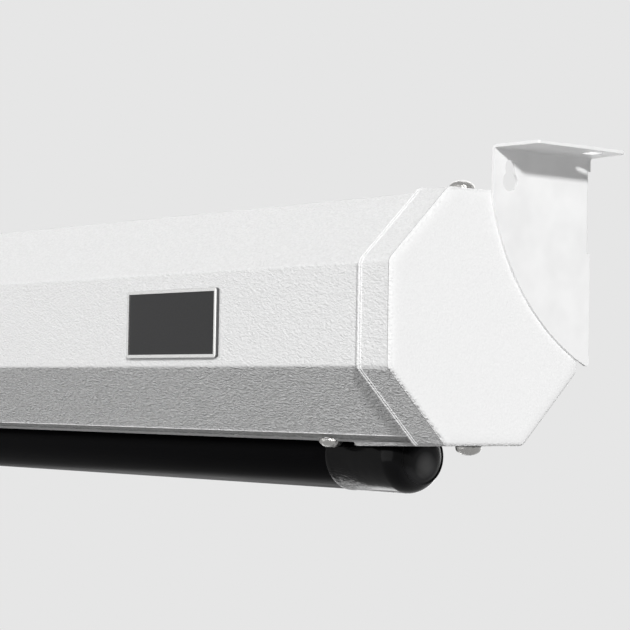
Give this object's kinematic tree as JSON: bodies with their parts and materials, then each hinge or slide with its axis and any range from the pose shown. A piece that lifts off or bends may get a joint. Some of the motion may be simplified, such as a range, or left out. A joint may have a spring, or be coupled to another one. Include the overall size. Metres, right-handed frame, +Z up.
{
  "type": "motorized projection screen",
  "caption": "Octagonal white case held by folded end brackets, with a tubular motor that rolls the screen fabric and lowers a round black weight bar.",
  "frame": {"origin": "middle of the case's length, where the ceiling plane on top of the bracket flanges meets the wall plane behind the brackets", "axes": "+X along the case towards the idler end, +Y to the wall, +Z up"},
  "size_m": [2.1416, 0.1036, 0.1344],
  "materials": {
    "powder_coat": "white wrinkle powder coat on sheet steel",
    "bracket_paint": "smooth white powder coat on folded sheet steel",
    "nickel_steel": "bright nickel-plated steel",
    "zinc_steel": "zinc-plated steel",
    "bar_paint": "semi-gloss black paint on steel tube",
    "bar_cap_plastic": "glossy moulded black plastic",
    "motor_plastic": "black moulded plastic",
    "grey_plastic": "dark grey moulded plastic",
    "white_plastic": "natural white moulded plastic",
    "tube_aluminium": "mill-finish aluminium tube",
    "screen_fabric": "matt white screen cloth with black backing",
    "black_fabric": "matt black masking on screen cloth",
    "lead_rubber": "black rubber sheath"
  },
  "bodies": {
    "case": {"case_shell": "powder_coat", "end_cap_right": "powder_coat", "end_cap_left": "powder_coat", "bracket_right": "bracket_paint", "bracket_left": "bracket_paint", "cap_screw_top_right": "nickel_steel", "cap_screw_bottom_right": "nickel_steel", "lip_screw_right": "nickel_steel", "cap_screw_top_left": "nickel_steel", "cap_screw_bottom_left": "nickel_steel", "lip_screw_left": "nickel_steel", "bracket_nut_upper_right": "zinc_steel", "bracket_nut_lower_right": "zinc_steel", "bracket_nut_upper_left": "zinc_steel", "bracket_nut_lower_left": "zinc_steel", "idler_plate": "zinc_steel", "idler_bush": "white_plastic", "motor_plate": "zinc_steel", "motor_head": "motor_plastic", "motor_housing": "zinc_steel", "motor_screw_front": "nickel_steel", "motor_screw_back": "nickel_steel", "receiver_box": "grey_plastic", "receiver_cover": "grey_plastic", "motor_lead": "lead_rubber", "cord_gland": "motor_plastic", "gland_nut": "motor_plastic"},
    "roller": {"roller_tube": "tube_aluminium", "fabric_roll": "screen_fabric", "crown_ring": "white_plastic", "motor_shaft": "zinc_steel", "drive_wheel": "grey_plastic", "drive_screw_upper": "zinc_steel", "drive_screw_lower": "zinc_steel", "idler_plug": "grey_plastic", "idler_pin": "zinc_steel", "idler_clip": "zinc_steel"},
    "weight_bar": {"weight_bar": "bar_paint", "bar_cap_right": "bar_cap_plastic", "bar_cap_left": "bar_cap_plastic", "hem_rod": "zinc_steel", "fabric_hem": "black_fabric", "fabric_drop": "black_fabric"},
    "limit_screw_up": {"limit_screw_up": "white_plastic"},
    "limit_screw_down": {"limit_screw_down": "white_plastic"}
  },
  "joints": [
    {"name": "roller_spin", "type": "hinge", "parent": "case", "child": "roller", "pos_m": [0, -0.0745, -0.0639], "axis": [-1, 0, 0], "range_deg": [0, 3744]},
    {"name": "bar_drop", "type": "slide", "parent": "case", "child": "weight_bar", "axis": [0, 0, -1], "range_m": [0, 1.3857], "deforming": ["fabric_drop"]},
    {"name": "limit_screw_up_turn", "type": "hinge", "parent": "case", "child": "limit_screw_up", "pos_m": [-1.0214, -0.0815, -0.0759], "axis": [1, 0, 0], "continuous": true},
    {"name": "limit_screw_down_turn", "type": "hinge", "parent": "case", "child": "limit_screw_down", "pos_m": [-1.0214, -0.0675, -0.0759], "axis": [1, 0, 0], "continuous": true}
  ],
  "couplings": [
    {"joint": "bar_drop", "follows": "roller_spin", "m_per_rad": 0.0212}
  ]
}
